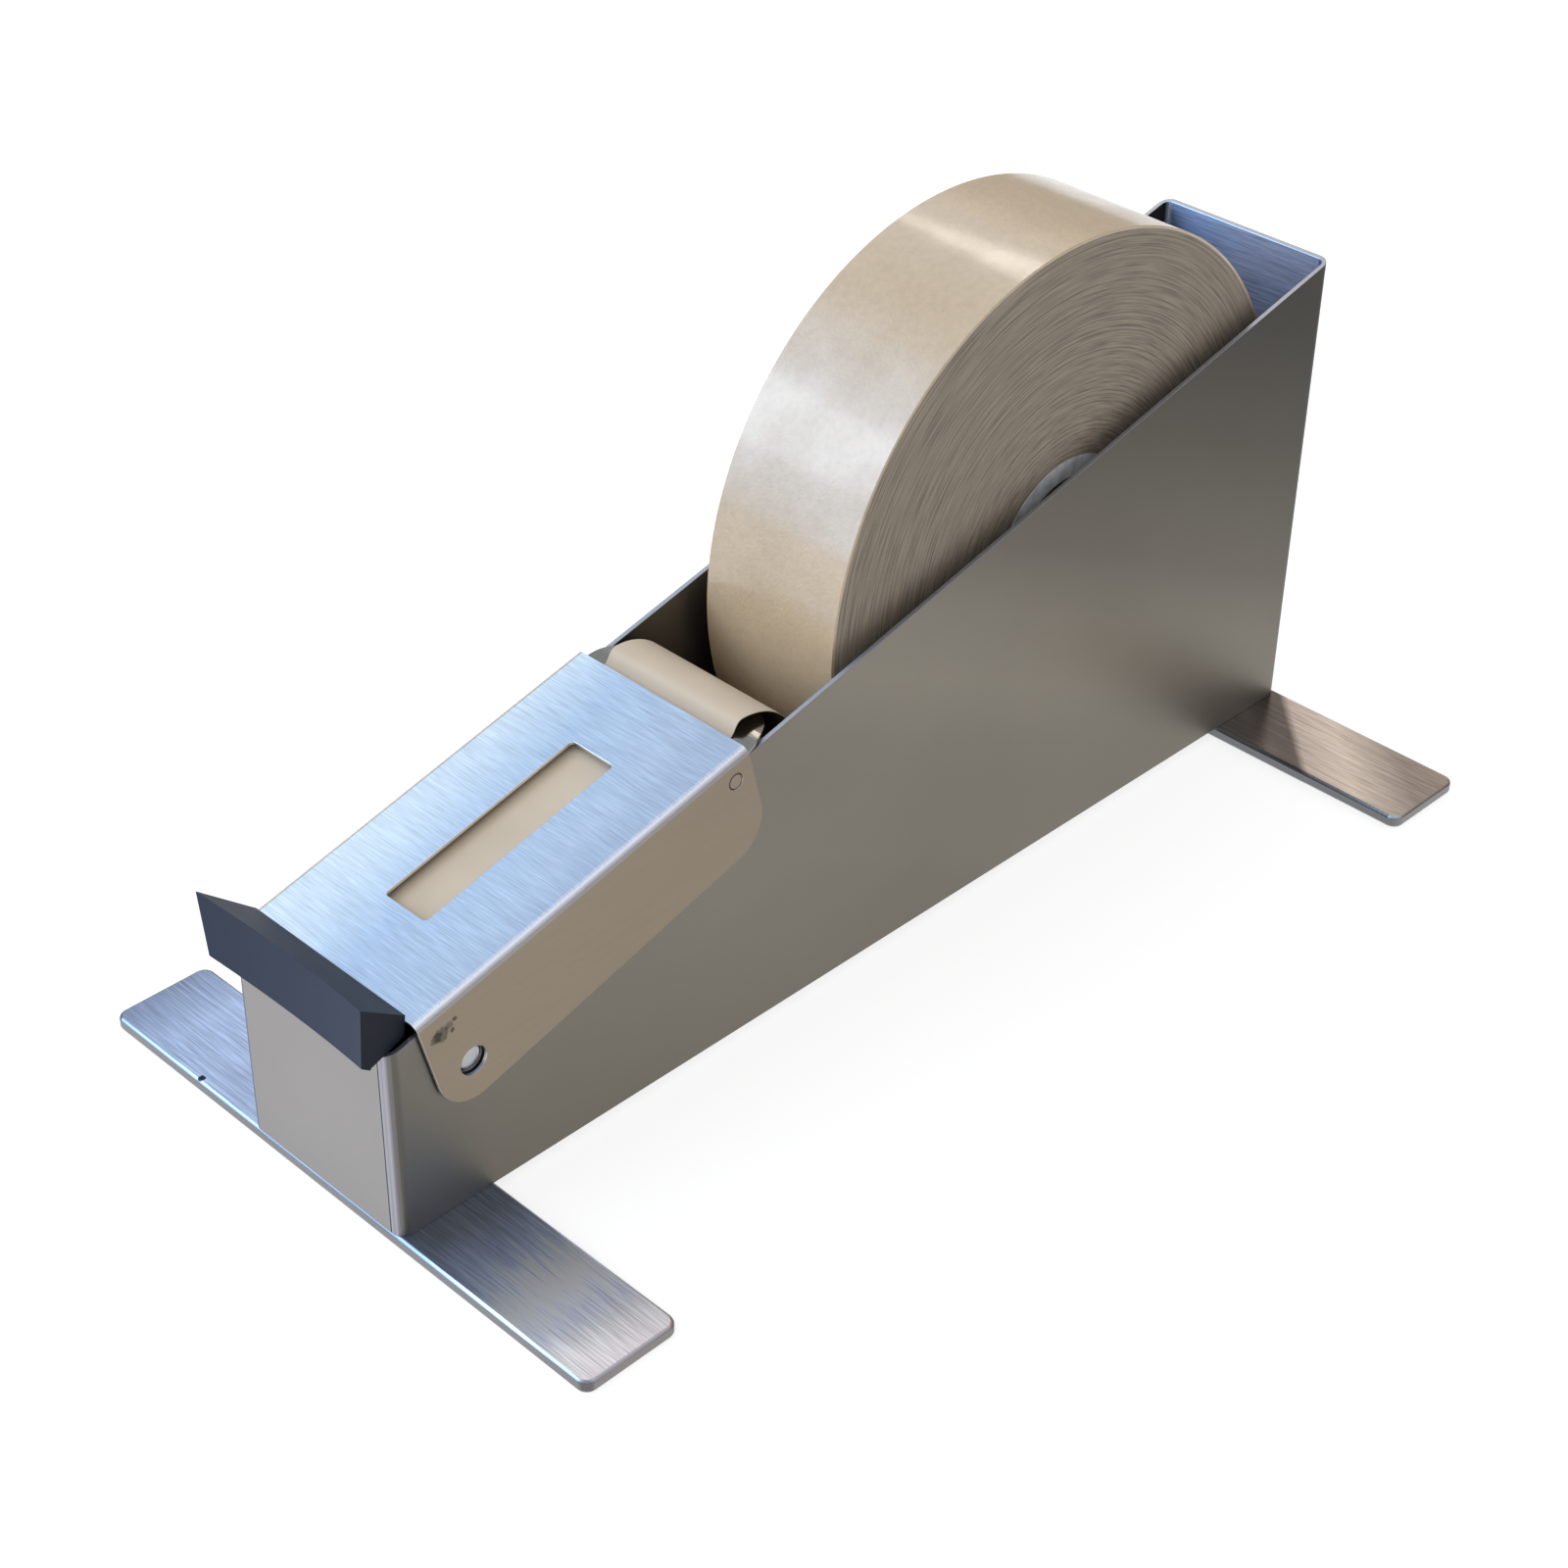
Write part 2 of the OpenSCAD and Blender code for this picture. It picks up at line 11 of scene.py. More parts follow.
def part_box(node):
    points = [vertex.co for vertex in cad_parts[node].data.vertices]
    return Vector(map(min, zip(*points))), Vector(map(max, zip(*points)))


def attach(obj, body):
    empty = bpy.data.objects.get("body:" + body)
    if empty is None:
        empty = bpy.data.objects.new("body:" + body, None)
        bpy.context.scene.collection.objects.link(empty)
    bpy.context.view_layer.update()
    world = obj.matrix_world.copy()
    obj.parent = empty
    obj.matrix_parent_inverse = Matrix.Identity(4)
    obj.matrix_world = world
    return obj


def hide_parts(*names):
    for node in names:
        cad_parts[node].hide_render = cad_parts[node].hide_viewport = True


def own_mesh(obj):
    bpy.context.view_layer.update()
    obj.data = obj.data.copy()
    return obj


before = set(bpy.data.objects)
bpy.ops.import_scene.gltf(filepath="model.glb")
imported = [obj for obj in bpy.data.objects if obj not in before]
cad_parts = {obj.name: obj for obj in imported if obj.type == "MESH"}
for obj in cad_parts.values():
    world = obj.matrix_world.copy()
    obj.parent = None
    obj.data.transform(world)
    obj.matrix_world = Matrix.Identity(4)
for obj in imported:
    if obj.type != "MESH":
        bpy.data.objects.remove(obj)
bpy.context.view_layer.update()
scene = bpy.context.scene
scene.view_settings.view_transform = "Standard"

# Camera
# A long lens stands in front of the dispenser's right corner and looks down along the cover.
# Its place, its turns and its length were fitted to the photograph.
CAMERA_AT = (0.490991, -0.517241, 0.548677)
CAMERA_TURN = math.radians(44.30)
CAMERA_TILT = math.radians(35.24)
CAMERA_ROLL = math.radians(0.94)
CAMERA_LENS = 68.31
CAMERA_SENSOR = 36
CAMERA_REACH = 20

back = Vector((math.sin(CAMERA_TURN) * math.cos(CAMERA_TILT),
               -math.cos(CAMERA_TURN) * math.cos(CAMERA_TILT), math.sin(CAMERA_TILT)))
level = Vector((math.cos(CAMERA_TURN), math.sin(CAMERA_TURN), 0))
upright = back.cross(level)
right = math.cos(CAMERA_ROLL) * level + math.sin(CAMERA_ROLL) * upright
up = -math.sin(CAMERA_ROLL) * level + math.cos(CAMERA_ROLL) * upright
camera = bpy.data.objects.new("camera", bpy.data.cameras.new("camera"))
camera.matrix_world = Matrix((
    (right.x, up.x, back.x, CAMERA_AT[0]), (right.y, up.y, back.y, CAMERA_AT[1]),
    (right.z, up.z, back.z, CAMERA_AT[2]), (0, 0, 0, 1)))
camera.data.lens = CAMERA_LENS
camera.data.sensor_width = CAMERA_SENSOR
camera.data.clip_end = CAMERA_REACH
scene.collection.objects.link(camera)
scene.camera = camera


# Floor and light
# A pale sweep of paper in a bright room. Matt surfaces get soft white light, a little stronger from the
# front left; polished ones see a tall window at the front left, a cool ceiling and a warmer room behind.
FLOOR_COLOUR = (0.94, 0.94, 0.94)
FLOOR_HALF = 60.0
SEEN_COLOUR = (0.40, 0.40, 0.40)
FLOOR_LIFT = 0.74
EVEN_LIGHT = 0.92
LIGHT_LEAN = (-0.34, -0.16, 0.0)
ZENITH = (0.66, 0.76, 0.92)
ABOVE = (0.74, 0.85, 1.0)
HORIZON = (0.78, 0.76, 0.74)
ROOM_TONES = [(0.0, HORIZON), (0.2, HORIZON), (0.45, ABOVE), (0.8, ABOVE), (1.0, ZENITH)]
REAR = (0.85, 0.64, 0.50)
REAR_LOW = (0.30, 0.24, 0.18)
REAR_STARTS = (0.52, 0.68)
REAR_RISES = (0.34, 0.50)
WINDOW = (2.3, 3.5, 5.3)
TO_WINDOW = (-0.62, -0.67, 0.41)
WINDOW_EDGE = (0.74, 0.98)


class Nodes:
    """The nodes of a material, a world or a group, with a short way to add each kind used here."""

    def __init__(self, tree):
        tree.nodes.clear()
        self.tree = tree

    def add(self, kind, inputs=None, **settings):
        """The outputs of a new node. An input given as a socket is linked, any other is set."""
        node = self.tree.nodes.new(kind)
        for key, value in settings.items():
            setattr(node, key, value)
        for key, value in (inputs or {}).items():
            socket = node.inputs[key]
            if isinstance(value, bpy.types.NodeSocket):
                self.tree.links.new(value, socket)
            elif socket.type == "RGBA":
                socket.default_value = (*value, 1)
            else:
                socket.default_value = value
        return node.outputs

    def number(self, operation, *values):
        """What a Math node makes of the values."""
        return self.add("ShaderNodeMath", dict(enumerate(values)), operation=operation)[0]

    def vector(self, operation, *values):
        """What a Vector Math node makes of the values: a vector, or one number where it measures."""
        measures = operation in ("DOT_PRODUCT", "LENGTH", "DISTANCE")
        outputs = self.add("ShaderNodeVectorMath", dict(enumerate(values)), operation=operation)
        return outputs["Value" if measures else "Vector"]

    def split(self, vector):
        """The three numbers of a vector, under X, Y and Z."""
        return self.add("ShaderNodeSeparateXYZ", {"Vector": vector})

    def mix(self, share, first, second):
        """The first colour where the share is 0, the second where it is 1."""
        return self.add("ShaderNodeMixRGB", {"Fac": share, "Color1": first, "Color2": second})[0]

    def span(self, value, start, end, low=0.0, high=1.0, **settings):
        """Low where the value is at the start or before it, high at the end or past it."""
        return self.add("ShaderNodeMapRange", {"Value": value, "From Min": start, "From Max": end,
                                               "To Min": low, "To Max": high}, **settings)[0]

    def noise(self, place, scale, detail):
        """Smooth noise from 0 to 1, with so many lumps in a metre."""
        return self.add("ShaderNodeTexNoise", {"Vector": place, "Scale": scale, "Detail": detail})[0]

    def ramp(self, share, stops):
        """The tone at a share, between stops that are each a place and a colour or a grey value."""
        node = self.tree.nodes.new("ShaderNodeValToRGB")
        self.tree.links.new(share, node.inputs["Fac"])
        elements = node.color_ramp.elements
        while len(elements) < len(stops):
            elements.new(1.0)
        for element, (place, value) in zip(elements, stops):
            element.position = place
            element.color = (value,) * 3 + (1,) if np.isscalar(value) else (*value, 1)
        return node.outputs["Color"]


def new_material(name):
    """A new material and its nodes."""
    material = bpy.data.materials.new(name)
    material.use_nodes = True
    return material, Nodes(material.node_tree)


floor_mesh = bpy.data.meshes.new("floor")
floor_mesh.from_pydata([(-FLOOR_HALF, -FLOOR_HALF, 0), (FLOOR_HALF, -FLOOR_HALF, 0),
                        (FLOOR_HALF, FLOOR_HALF, 0), (-FLOOR_HALF, FLOOR_HALF, 0)], [], [(0, 1, 2, 3)])
floor = bpy.data.objects.new("floor", floor_mesh)
scene.collection.objects.link(floor)
paper, nodes = new_material("floor paper")
ray = nodes.add("ShaderNodeLightPath")
direct = nodes.number("MAXIMUM", ray["Is Camera Ray"], ray["Is Glossy Ray"])
clear = nodes.number("MAXIMUM", direct, ray["Is Transmission Ray"])
matt = nodes.add("ShaderNodeBsdfDiffuse", {"Color": nodes.mix(clear, FLOOR_COLOUR, SEEN_COLOUR)})
white = nodes.add("ShaderNodeEmission", {"Strength": nodes.number("MULTIPLY", clear, FLOOR_LIFT)})
both = nodes.add("ShaderNodeAddShader", {0: matt[0], 1: white[0]})
nodes.add("ShaderNodeOutputMaterial", {"Surface": both[0]})
floor_mesh.materials.append(paper)

world = bpy.data.worlds.new("studio")
scene.world = world
world.use_nodes = True
nodes = Nodes(world.node_tree)
way = nodes.add("ShaderNodeTexCoord")["Generated"]
parts = nodes.split(way)
room = nodes.ramp(parts["Z"], ROOM_TONES)
rear = nodes.mix(nodes.span(parts["Z"], *REAR_RISES), REAR_LOW, REAR)
sides = nodes.mix(nodes.span(parts["Y"], *REAR_STARTS), room, rear)
pane = nodes.span(nodes.vector("DOT_PRODUCT", way, TO_WINDOW), *WINDOW_EDGE, interpolation_type="SMOOTHSTEP")
lit = nodes.mix(pane, sides, WINDOW)
even = nodes.number("ADD", nodes.vector("DOT_PRODUCT", way, LIGHT_LEAN), EVEN_LIGHT)
seen = nodes.mix(nodes.add("ShaderNodeLightPath")["Is Diffuse Ray"], lit, even)
glow = nodes.add("ShaderNodeBackground", {"Color": seen, "Strength": 1.0})
nodes.add("ShaderNodeOutputWorld", {"Surface": glow[0]})


def lamp(name, at, aim, size, power, colour):
    """A square soft box that points from one place at another."""
    data = bpy.data.lights.new(name, "AREA")
    data.shape = "SQUARE"
    data.size = size
    data.energy = power
    data.color = colour
    box = bpy.data.objects.new(name, data)
    box.location = at
    box.rotation_euler = (Vector(aim) - Vector(at)).to_track_quat("-Z", "Y").to_euler()
    scene.collection.objects.link(box)


# The first gleams towards the camera on faces that look up, the second on the front and the left.
lamp("rear box", at=(-1.06, 0.95, 1.55), aim=(0, 0, 0.05), size=0.3, power=1.7, colour=(1.0, 0.93, 0.84))
lamp("front box", at=(-1.2, -1.1, 0.95), aim=(0, 0, 0.1), size=0.6, power=5, colour=(0.80, 0.90, 1.0))


# Folded shell, floor plate and tape bed
# Stainless sheet, brushed before it is cut and folded. The shell is one piece with a seam at the
# front right corner; the floor is welded in and the bed sits on the side walls.
ALONG_X = (0.04, 1.0, 1.0)
ALONG_Y = (1.0, 0.04, 1.0)
FINE_SCALE = 2600.0
BROAD_SCALE = 800.0
CLOUD_SCALE = 9.0
STAIN_SCALE = 700.0

grain = bpy.data.node_groups.new("brushed grain", "ShaderNodeTree")
for socket in ("Place", "Stretch"):
    grain.interface.new_socket(socket, in_out="INPUT", socket_type="NodeSocketVector")
for socket in ("Fine", "Broad", "Cloud"):
    grain.interface.new_socket(socket, in_out="OUTPUT", socket_type="NodeSocketFloat")
nodes = Nodes(grain)
given = nodes.add("NodeGroupInput")
stretched = nodes.vector("MULTIPLY", given["Place"], given["Stretch"])
nodes.add("NodeGroupOutput", {"Fine": nodes.noise(stretched, FINE_SCALE, detail=2.0),
                              "Broad": nodes.noise(stretched, BROAD_SCALE, detail=3.0),
                              "Cloud": nodes.noise(given["Place"], CLOUD_SCALE, detail=3.0)})

# Where a face counts as an end, a top, a side or upright: its normal's share along that axis.
END_TURN = (0.5, 0.85)
TOP_TURN = (0.45, 0.85)
SIDE_TURN = (0.5, 0.7)
UPRIGHT_TURN = (0.5, 0.9)
FACES_IN = -0.001
OPENING_HALF = 0.02
# The contrast of the streaks as shares of streak: fine ones on level and upright faces, and broad ones.
FINE_ON_LEVEL = 5
FINE_ON_UPRIGHT = 0.6
BROAD_PART = 1 / 7
# What the fine streaks' contrast gains on the inner faces of the ends.
FINE_INSIDE = 1.3
NOISE_MIDDLE = 0.5
NOISE_SPAN = (0.3, 0.7)
CLOUD_TONES = (0.94, 1.05)
GLOSS_SWING = 0.012
GRAIN_DEPTH = 0.0002
STAIN_EDGE = (0.3, 0.55)
# Painted shade on the folds that look left.
LEFT_FOLD_SHADE = [(0.0, 1.0), (0.015, 1.0), (0.05, 0.5), (0.40, 0.45), (0.475, 1.0), (1.0, 1.0)]


def sheet_tone(nodes, place, is_in, is_end, top, sides, ends, sweep, fade, inside, cut_face_highlight):
    """The painted reflection on each face: sides where the normal lies along X, ends along Y, top along Z."""
    at = nodes.split(place["Object"])
    normal = nodes.split(place["Normal"])
    ways = nodes.split(nodes.vector("ABSOLUTE", place["Normal"]))

    def along(run):
        """The tones of a sweep or a fade, by how far each place lies in its direction."""
        way, start, end, tones = run
        return nodes.ramp(nodes.span(nodes.vector("DOT_PRODUCT", place["Object"], way), start, end), tones)

    top_tone = nodes.vector("MULTIPLY", top, along(sweep)) if sweep else top
    side_tone = nodes.vector("MULTIPLY", sides, along(fade)) if fade else sides
    # Cut faces inside an opening near the middle take a painted highlight, brighter than white.
    if cut_face_highlight:
        inward = nodes.number("LESS_THAN", nodes.number("MULTIPLY", at["X"], normal["X"]), FACES_IN)
        near = nodes.number("LESS_THAN", nodes.number("ABSOLUTE", at["X"]), OPENING_HALF)
        side_tone = nodes.mix(nodes.number("MULTIPLY", inward, near), side_tone, cut_face_highlight)
    end_tone = nodes.mix(is_in, ends, inside) if inside else ends
    return nodes.mix(nodes.span(ways["Z"], *TOP_TURN), nodes.mix(is_end, side_tone, end_tone), top_tone)


def brushed(name, top, sides, ends, stretch, rough=0.34, streak=0.10, relief=0.15, sweep=None, fade=None,
            inside=None, cut_face_highlight=None, bend=None, turn="X", marks=()):
    """Brushed steel: fine streaks along the axis that stretch shortens, in colour, gloss and relief.

    Real steel has one tone all over. Here the level faces, the sides and the ends have one each, and
    inside, lining, sweep, fade and bend tone them further, to match what each face reflects in the
    photograph. All this is painted in the base colour by place and normal, so it stays where it is in
    other views and under other light, and some of it goes above 1.

    inside is the tone of the ends' inner faces, and lining that of the cut faces inside an opening near
    the middle. sweep tones the level faces, and fade the sides: each is a direction, where it starts and
    ends along that, and the tones. bend holds the tones met where the normal turns from square to the
    axis named turn (0) to along it (1), and LEFT_FOLD_SHADE then darkens the folds that look left. marks are
    stains: each is a place, a radius and the share of the tone that it leaves.
    """
    material, nodes = new_material(name)
    place = nodes.add("ShaderNodeTexCoord")
    at = nodes.split(place["Object"])
    normal = nodes.split(place["Normal"])
    ways = nodes.split(nodes.vector("ABSOLUTE", place["Normal"]))
    is_in = nodes.number("LESS_THAN", nodes.number("MULTIPLY", at["Y"], normal["Y"]), 0.0)
    is_end = nodes.span(ways["Y"], *END_TURN)
    tone = sheet_tone(nodes, place, is_in, is_end, top, sides, ends, sweep, fade, inside, cut_face_highlight)

    run = nodes.mix(nodes.span(ways["X"], *SIDE_TURN), stretch, ALONG_Y)
    run = nodes.mix(is_end, run, ALONG_X)
    streaks = nodes.add("ShaderNodeGroup", {"Place": place["Object"], "Stretch": run}, node_tree=grain)
    upright_share = nodes.number("MAXIMUM", ways["X"], ways["Y"])
    contrast = nodes.span(upright_share, *UPRIGHT_TURN, streak * FINE_ON_LEVEL, streak * FINE_ON_UPRIGHT)
    if inside:
        inner_end = nodes.number("MULTIPLY", is_in, is_end)
        contrast = nodes.number("MULTIPLY_ADD", inner_end, FINE_INSIDE, contrast)
    swing = nodes.number("SUBTRACT", streaks["Fine"], NOISE_MIDDLE)
    fine = nodes.number("MULTIPLY_ADD", swing, contrast, 1.0)
    broad = nodes.span(streaks["Broad"], *NOISE_SPAN, 1 - streak * BROAD_PART, 1 + streak * BROAD_PART)
    cloudy = nodes.span(streaks["Cloud"], *NOISE_SPAN, *CLOUD_TONES)
    shade = nodes.number("MULTIPLY", nodes.number("MULTIPLY", fine, cloudy), broad)
    tone = nodes.vector("MULTIPLY", tone, shade)
    # The folds take painted highlights and shade, and those that look left more painted shade.
    if bend:
        tone = nodes.vector("MULTIPLY", tone, nodes.ramp(ways[turn], bend))
        rightward = nodes.number("MULTIPLY_ADD", normal["X"], 0.5, 0.5)
        tone = nodes.vector("MULTIPLY", tone, nodes.ramp(rightward, LEFT_FOLD_SHADE))
    for centre, size, left in marks:
        wobble = nodes.noise(place["Object"], STAIN_SCALE, detail=2.0)
        apart = nodes.vector("DISTANCE", place["Object"], centre)
        ragged = nodes.number("MULTIPLY_ADD", wobble, -size, apart)
        stain = nodes.span(ragged, size * STAIN_EDGE[0], size * STAIN_EDGE[1], left, 1.0)
        tone = nodes.vector("MULTIPLY", tone, stain)
    gloss = nodes.span(streaks["Broad"], *NOISE_SPAN, rough - GLOSS_SWING, rough + GLOSS_SWING)
    bump = nodes.add("ShaderNodeBump", {"Height": streaks["Fine"], "Strength": relief,
                                        "Distance": GRAIN_DEPTH})
    steel = nodes.add("ShaderNodeBsdfPrincipled", {"Base Color": tone, "Metallic": 1.0, "Roughness": gloss,
                                                   "Normal": bump[0]})
    nodes.add("ShaderNodeOutputMaterial", {"Surface": steel[0]})
    return material


def dress(material, *names):
    """Gives CAD nodes a material in place of the one that they came with."""
    for name in names:
        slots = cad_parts[name].data.materials
        slots.clear()
        slots.append(material)


SAME_POINT = 2e-6
FLAT_BELOW = math.radians(0.4)
SMOOTH_BELOW = 32


def eased(node, body, material, width, smooth=SMOOTH_BELOW):
    """A copy of a CAD node, its triangles merged, its sharp edges eased and its flat faces shaded flat."""
    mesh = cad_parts[node].data.copy()
    work = bmesh.new()
    work.from_mesh(mesh)
    bmesh.ops.remove_doubles(work, verts=work.verts, dist=SAME_POINT)
    bmesh.ops.dissolve_limit(work, angle_limit=FLAT_BELOW, verts=work.verts, edges=work.edges)
    work.to_mesh(mesh)
    work.free()
    mesh.materials.clear()
    mesh.materials.append(material)
    mesh.polygons.foreach_set("use_smooth", np.ones(len(mesh.polygons), dtype=bool))
    mesh.set_sharp_from_angle(angle=math.radians(smooth))
    piece = bpy.data.objects.new(node + "_eased", mesh)
    scene.collection.objects.link(piece)
    bevel = piece.modifiers.new("eased edges", "BEVEL")
    bevel.width = width
    bevel.segments = 2
    bevel.limit_method = "ANGLE"
    bevel.angle_limit = math.radians(smooth)
    weighted = piece.modifiers.new("flat faces", "WEIGHTED_NORMAL")
    weighted.weight = 100
    weighted.keep_sharp = True
    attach(piece, body)
    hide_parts(node)


# Painted reflection and shade on the shell's sides: light and dark bands, darkest towards the rear top.
SHELL_PAINTED_SHEEN = ((0, 0.5, 1), -0.08, 0.24, [
    (0.0, 0.74), (0.08, 0.75), (0.22, 0.85), (0.31, 0.93), (0.36, 0.97), (0.44, 0.94), (0.484, 0.96),
    (0.55, 1.07), (0.625, 0.96), (0.70, 0.66), (0.85, 0.4), (0.955, 0.26), (1.0, 0.22)])
# Painted highlights and shade along the shell's rounded folds, by how far the normal has turned towards X.
SHELL_FOLD_HIGHLIGHTS = [
    (0.0, 1.0), (0.03, 1.0), (0.07, (1.05, 1.1, 1.2)), (0.12, (1.25, 1.37, 1.62)), (0.20, (1.10, 1.17, 1.32)),
    (0.31, (0.99, 1.03, 1.18)), (0.40, (1.22, 1.26, 1.47)), (0.47, (1.22, 1.27, 1.47)),
    (0.54, (0.95, 0.97, 1.07)), (0.66, (0.65, 0.69, 0.80)), (0.707, (0.71, 0.73, 0.85)), (0.80, 0.81),
    (0.866, 0.74), (0.94, 0.77), (0.985, 0.88), (1.0, 1.0)]
# The shell's tones on its top, sides and ends, and the bluish tone of its ends' inner faces, are painted
# reflections.
shell_steel = brushed("shell steel", top=(0.42, 0.41, 0.41), sides=(0.235, 0.213, 0.176),
                      ends=(0.33, 0.305, 0.285), stretch=ALONG_Y, rough=0.46, streak=0.05, relief=0.06,
                      fade=SHELL_PAINTED_SHEEN, inside=(0.50, 0.60, 0.86), bend=SHELL_FOLD_HIGHLIGHTS)
eased("body_shell", "frame", shell_steel, width=0.0002)
# The bed's and the floor plate's tones on top, sides and ends are painted reflections.
bed_steel = brushed("bed steel", top=(0.26, 0.235, 0.20), sides=(0.25, 0.23, 0.20), ends=(0.30, 0.28, 0.25),
                    stretch=ALONG_X, rough=0.16, streak=0.05)
eased("tape_bed", "frame", bed_steel, width=0.00015)
plate_steel = brushed("plate steel", top=(0.45, 0.44, 0.43), sides=(0.4, 0.39, 0.38), ends=(0.4, 0.39, 0.38),
                      stretch=ALONG_Y)
dress(plate_steel, "base_plate")


# Feet
# Two flat bars of thicker stainless, brushed along their length, with rounded corners and eased
# edges. They are welded under the body, across its front and its rear.
FOOT_GRAIN = (0.03, 1.0, 1.0)
# Painted shade on the feet's rounded long edges.
FOOT_EDGE_SHADE = [(0.0, 1.0), (0.12, 1.0), (0.35, 0.62), (0.90, 0.62), (1.0, 1.0)]
FOOT_SPECK = ((-0.0601, -0.1817, 0.004), 0.0012, 0.05)
# Painted reflection along the front foot: darker at its left end, bright bands towards its right end.
FRONT_FOOT_PAINTED_SHEEN = ((1, 0, 0), -0.1, 0.1, [
    (0.0, 0.68), (0.10, 1.14), (0.18, 1.14), (0.62, (0.95, 0.95, 0.93)), (0.68, (1.03, 1.0, 0.96)),
    (0.76, (1.76, 1.7, 1.85)), (0.85, (2.85, 2.52, 2.5)), (0.93, (2.0, 1.68, 1.3)), (1.0, (1.45, 1.15, 0.9))])
# Painted reflection across the rear foot: a dark band where the body is mirrored, then bright bands.
REAR_FOOT_PAINTED_SHEEN = ((1, 1.03, 0), 0.15, 0.30, [
    (0.0, 0.9), (0.38, 0.8), (0.46, 0.45), (0.505, 0.45), (0.53, (1.7, 1.7, 1.6)), (0.65, (2.15, 2.2, 2.05)),
    (0.83, (1.05, 1.05, 1.0)), (1.0, (1.15, 1.1, 1.0))])
FOOT_EASE = 0.0009
# The feet's bluish tops and their darker sides and ends are painted reflections.
foot_steel = brushed("foot steel", top=(0.396, 0.46, 0.60), sides=(0.26, 0.245, 0.24),
                     ends=(0.25, 0.24, 0.24), stretch=FOOT_GRAIN, rough=0.33, streak=0.28, relief=0.2,
                     marks=[FOOT_SPECK], sweep=FRONT_FOOT_PAINTED_SHEEN, bend=FOOT_EDGE_SHADE, turn="Y")
rear_foot_steel = brushed("rear foot steel", top=(0.36, 0.36, 0.38), sides=(0.24, 0.235, 0.235),
                          ends=(0.19, 0.195, 0.21), stretch=FOOT_GRAIN, rough=0.24, streak=0.26, relief=0.2,
                          sweep=REAR_FOOT_PAINTED_SHEEN)
eased("front_foot", "frame", foot_steel, FOOT_EASE)
eased("rear_foot", "frame", rear_foot_steel, FOOT_EASE)


# Cover
# A folded channel of thin brushed stainless with a window punched in its top. It turns on two
# flush rivets through its flanges at the rear, and the catch buttons hold it down at the front.
# Painted highlights along the cover's folds, by how far the normal has turned towards X.
COVER_FOLD_HIGHLIGHTS = [
    (0.0, 1.0), (0.04, 1.0), (0.10, (1.25, 1.15, 1.09)), (0.17, (1.38, 1.22, 1.13)),
    (0.29, (1.60, 1.34, 1.19)), (0.42, (1.95, 1.59, 1.31)), (0.545, (2.14, 1.72, 1.40)),
    (0.707, (1.65, 1.39, 1.21)),
    (0.80, (1.58, 1.47, 1.45)), (0.866, (1.44, 1.53, 1.85)), (0.93, (1.25, 1.5, 2.06)),
    (0.975, (1.04, 1.23, 1.54)), (0.99, (0.94, 1.08, 1.3)), (1.0, 1.0)]
# Painted reflection across the cover's top, lighter at the left and darker to the right.
COVER_TOP_PAINTED_SHEEN = ((1, 0.15, 0), -0.0567, 0.0109, [
    (0.0, (1.4, 1.3, 1.15)), (0.15, (1.34, 1.26, 1.13)), (0.45, (0.90, 0.93, 0.95)),
    (0.85, (0.90, 0.885, 0.88)), (0.97, (0.80, 0.79, 0.80))])
FLANGE_MARKS = [
    ((0.0305, -0.1668, 0.0655), 0.0024, 0.5), ((0.0305, -0.1685, 0.0650), 0.0019, 0.45),
    ((0.0305, -0.1642, 0.0670), 0.0013, 0.6), ((0.0305, -0.1624, 0.0682), 0.0008, 0.4),
    ((0.0305, -0.1633, 0.0651), 0.0008, 0.4)]
# Painted shade round the rivet heads, light only where the face looks along X.
RIVET_RIM_SHADE = [(0.0, 0.4), (0.30, 0.25), (0.90, 0.25), (0.97, 1.0), (1.0, 1.0)]
# The pins' tones on top, sides and ends are painted reflections.
PIN_TONES = ((0.5, 0.5, 0.5), (0.27, 0.22, 0.165), (0.4, 0.39, 0.38))
# The cover's bluish top, brown flanges and light ends are painted reflections; its window's cut faces take a
# painted highlight.
cover_steel = brushed("cover steel", top=(0.60, 0.70, 0.82), sides=(0.26, 0.212, 0.158),
                      ends=(0.9, 0.9, 0.92), stretch=ALONG_X, rough=0.30, streak=0.15, relief=0.12,
                      sweep=COVER_TOP_PAINTED_SHEEN, cut_face_highlight=(3.3, 3.1, 2.9), bend=COVER_FOLD_HIGHLIGHTS, marks=FLANGE_MARKS)
eased("cover", "cover", cover_steel, width=0.0003)
rivet_steel = brushed("rivet steel", *PIN_TONES, ALONG_Y, rough=0.30, streak=0.02, bend=RIVET_RIM_SHADE)
eased("pivot_pins", "frame", rivet_steel, width=0.0004)


# Tear bar
# A moulded dark bar with a sharp upper edge, hollowed along its front. Two countersunk steel
# screws hold it from below on the cover's tongue.
PLASTIC_END_TURN = (0.7, 0.9)
PLASTIC_GLOSS_SWING = 0.08
PORE_DEPTH = 0.0001


